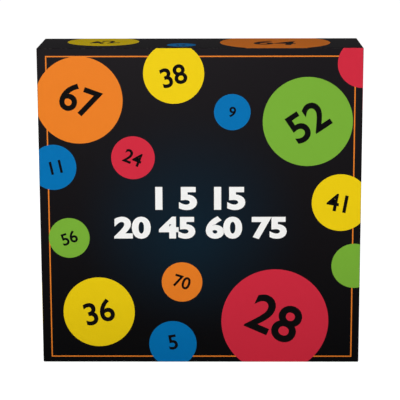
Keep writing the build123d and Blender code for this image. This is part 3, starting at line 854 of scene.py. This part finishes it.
def softened(node, edge, finish, segments=2):
    """A piece of the CAD piece's shape with rounded edges, shown in its place."""
    bpy.ops.object.select_all(action="DESELECT")
    copy = bpy.data.objects.new(node + "_moulded", frame["nodes"][node].data.copy())
    bpy.context.scene.collection.objects.link(copy)
    copy.select_set(True)
    bpy.context.view_layer.objects.active = copy
    bpy.ops.object.mode_set(mode="EDIT")
    bpy.ops.mesh.select_all(action="SELECT")
    bpy.ops.mesh.remove_doubles(threshold=merge_reach)
    bpy.ops.mesh.dissolve_limited(angle_limit=radians(1))
    bpy.ops.object.mode_set(mode="OBJECT")
    rounding = copy.modifiers.new("rounding", "BEVEL")
    rounding.width = edge
    rounding.segments = segments
    rounding.limit_method = "ANGLE"
    rounding.angle_limit = sharp_angle
    rounding.use_clamp_overlap = True
    bpy.ops.object.modifier_apply(modifier="rounding")
    bpy.ops.object.mode_set(mode="EDIT")
    bpy.ops.mesh.select_all(action="SELECT")
    bpy.ops.mesh.dissolve_degenerate(threshold=nearly)
    bpy.ops.object.mode_set(mode="OBJECT")
    bpy.ops.object.shade_smooth_by_angle(angle=smooth_angle)
    copy.data.materials.clear()
    copy.data.materials.append(finish)
    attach(copy, frame["nodes"][node]["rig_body"])
    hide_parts(node)
    return copy


tray_plastic = moulded("tray_plastic", paint(64, 65, 68), 0.5, 1300.0, Specular_IOR_Level=0.4)
softened("chip_tray", 0.0004, tray_plastic)


def middles(node):
    """Middle of each separate solid of a CAD node."""
    bpy.ops.object.select_all(action="DESELECT")
    copy = bpy.data.objects.new("middles", frame["nodes"][node].data.copy())
    bpy.context.scene.collection.objects.link(copy)
    copy.select_set(True)
    bpy.context.view_layer.objects.active = copy
    bpy.ops.object.mode_set(mode="EDIT")
    bpy.ops.mesh.select_all(action="SELECT")
    bpy.ops.mesh.remove_doubles(threshold=merge_reach)
    bpy.ops.mesh.separate(type="LOOSE")
    bpy.ops.object.mode_set(mode="OBJECT")
    found = []
    for part in list(bpy.context.selected_objects):
        corners = [Vector(corner) for corner in part.bound_box]
        found.append(sum(corners, Vector()) / len(corners))
        bpy.data.objects.remove(part)
    return sorted(found, key=lambda place: tuple(round(value, 5) for value in place))


chip_thickness, chip_radius, chip_rim = 0.0016, 0.0095, 0.0003
for colour_name, colour in (("red", red), ("blue", blue), ("green", green), ("yellow", yellow)):
    chip_plastic = moulded(
        "chip_" + colour_name + "_plastic", colour, 0.18, 300.0, Transmission_Weight=0.35, IOR=1.49
    )
    chips = []
    for middle in middles("chips_" + colour_name):
        bpy.ops.object.select_all(action="DESELECT")
        bpy.ops.mesh.primitive_cylinder_add(
            vertices=40,
            radius=chip_radius,
            depth=chip_thickness,
            location=middle,
            rotation=(radians(90), 0, 0),
        )
        chips.append(bpy.context.object)
    chip_set = joined(chips, "chips_" + colour_name + "_discs", chip_plastic)
    bpy.ops.object.transform_apply(location=True, rotation=True, scale=True)
    rim = chip_set.modifiers.new("rim", "BEVEL")
    rim.width = chip_rim
    rim.segments = 2
    bpy.ops.object.modifier_apply(modifier="rim")
    bpy.ops.object.shade_smooth_by_angle(angle=smooth_angle)
    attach(chip_set, "chips")
    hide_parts("chips_" + colour_name)
    "chip_" + colour_name


# Tumbler: foot, uprights, bushes
# The frame is moulded in one dark plastic: a foot, and two uprights whose tenons stand in it. White
# acetal bushes in the uprights carry the axle.
frame_plastic = moulded("frame_plastic", paint(42, 43, 46), 0.32, 1100.0)
for node, edge in (("tumbler_foot", 0.0005), ("back_upright", 0.0003), ("front_upright", 0.0003)):
    softened(node, edge, frame_plastic)
bush_plastic = moulded("bush_plastic", paint(232, 232, 228), 0.4, 900.0)
softened("axle_bushes", 0.0001, bush_plastic)


# Drum: clear half shells and their screws
# Twelve-sided clear polystyrene shells with vent slots, joined by zinc-plated screws at three pairs of
# lugs. The axle and the knob's pin are drawn steel.
drum_clear, drum_shader, place = finish_of(
    "clear_polystyrene", Alpha=0.14, IOR=1.49, Roughness=0.04, Base_Color=paint(214, 228, 234)
)
wire(drum_shader, Roughness=place.noise(120.0, 3.0).ramp(0.4, 0.8, 0.03, 0.12))
bump(drum_shader, place.noise(60.0, 2.0), 0.00004, 0.3)
for node in ("drum_back", "drum_front"):
    softened(node, 0.0002, drum_clear, 1)


def steel(name, roughness, grain):
    """Bright steel with fine scratches."""
    made, shader, at = finish_of(name, Metallic=1.0, Base_Color=paint(172, 174, 177))
    scratches = at.noise(grain, 4.0)
    wire(shader, Roughness=scratches.ramp(0.3, 0.7, roughness, roughness + 0.15))
    bump(shader, scratches, 0.00001, 0.3)
    return made


zinc = steel("zinc_plated_steel", 0.3, 900.0)
drawn_steel = steel("drawn_steel", 0.22, 1600.0)
softened("drum_screws", 0.0002, zinc)
softened("crank_screw", 0.0003, zinc)
dressed(drawn_steel, "drum_axle")
softened("knob_pin", 0.0002, drawn_steel)


# Crank, knob and ball gate
# A red moulded arm is screwed to the axle, and a yellow waisted knob turns on its pin. The gate over
# the drum's port is moulded in the knob's yellow.
crank_plastic = moulded("crank_plastic", red, 0.22, 700.0)
softened("crank_arm", 0.0006, crank_plastic, 3)
knob_plastic = moulded("knob_plastic", yellow, 0.2, 700.0)
softened("ball_gate", 0.0003, knob_plastic)

knob_low, knob_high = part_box("crank_knob")
knob_middle = (knob_low + knob_high) / 2
knob_radius, knob_waist = 0.00665, 0.0054
knob_edge, knob_inset, knob_skin = 0.0006, 0.0008, 0.0002
knob_length = knob_high.y - knob_low.y
bpy.ops.object.select_all(action="DESELECT")
bpy.ops.mesh.primitive_cylinder_add(
    vertices=48, radius=knob_radius, depth=knob_length, location=knob_middle, rotation=(radians(90), 0, 0)
)
bpy.ops.object.transform_apply(location=True, rotation=True, scale=True)
knob = bpy.context.object
knob.name = "crank_knob_turned"
choose(knob, "FACE", lambda face: abs(face.normal.y) > 0.5)
bpy.ops.mesh.inset(thickness=knob_inset)
bpy.ops.object.mode_set(mode="OBJECT")


def runs_along(edge):
    """Whether an edge of the knob runs along its length."""
    ends = [knob.data.vertices[corner].co.y for corner in edge.vertices]
    return abs(ends[0] - ends[1]) > knob_length / 2


choose(knob, "EDGE", runs_along)
bpy.ops.mesh.subdivide(number_cuts=9)
bpy.ops.object.mode_set(mode="OBJECT")
for vertex in knob.data.vertices:
    along = (vertex.co.y - knob_middle.y) / (knob_length / 2)
    outward = Vector((vertex.co.x - knob_middle.x, 0, vertex.co.z - knob_middle.z))
    if outward.length > knob_radius - knob_skin:
        pinch = 1 - (1 - knob_waist / knob_radius) * (1 - along**2)
        vertex.co += outward * (pinch - 1)
rounding = knob.modifiers.new("rounding", "BEVEL")
rounding.width = knob_edge
rounding.segments = 3
rounding.limit_method = "ANGLE"
rounding.angle_limit = radians(50)
bpy.ops.object.modifier_apply(modifier="rounding")
bpy.ops.object.shade_smooth_by_angle(angle=smooth_angle)
knob.data.materials.append(knob_plastic)
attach(knob, "knob")
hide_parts("crank_knob")


# Balls: seventy-five, in five colours
# Hollow moulded balls with a number printed on each, lying as they fell in the bottom of the drum.
# Each number is tilted and turned by chance, and lies on its ball's own curve.
ball_radius, ball_figure = 0.0059, 0.0042
ball_tilt, ball_turn = 28, 70
for group, (colour_name, colour) in enumerate(
    (("blue", blue), ("red", red), ("yellow", yellow), ("green", green), ("orange", orange))
):
    first = 15 * group + 1
    node = "balls_" + str(first) + "_" + str(first + 14)
    ball_plastic = moulded("ball_" + colour_name + "_plastic", colour, 0.2, 500.0)
    balls, ball_figures = [], []
    for count, middle in enumerate(middles(node)):
        bpy.ops.object.select_all(action="DESELECT")
        bpy.ops.mesh.primitive_uv_sphere_add(segments=28, ring_count=18, radius=ball_radius, location=middle)
        balls.append(bpy.context.object)
        tilt_x = Matrix.Rotation(radians(chance.uniform(-ball_tilt, ball_tilt)), 4, "X")
        tilt_z = Matrix.Rotation(radians(chance.uniform(-ball_tilt, ball_tilt)), 4, "Z")
        turn = Matrix.Rotation(radians(chance.uniform(-ball_turn, ball_turn)), 4, "Y")
        tilt = tilt_x @ tilt_z
        spot = Matrix.Translation(middle) @ tilt @ Matrix.Translation((0, -ball_radius, 0)) @ turn
        figure = figures(str(first + count), ball_figure, Matrix())
        cut_fine(figure)
        figure.matrix_world = spot
        bpy.ops.object.transform_apply(location=True, rotation=True, scale=True)
        for vertex in figure.data.vertices:
            outward = vertex.co - middle
            vertex.co = middle + outward * ((ball_radius + ink_lift) / outward.length)
        ball_figures.append(figure)
    ball_set = joined(balls, node + "_round", ball_plastic)
    bpy.ops.object.transform_apply(location=True, rotation=True, scale=True)
    bpy.ops.object.shade_smooth()
    ball_numbers = printed(ball_figures, node + "_numbers", black_ink)
    for piece in (ball_set, ball_numbers):
        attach(piece, "tumbler")
        "ball_" + colour_name
    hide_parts(node)
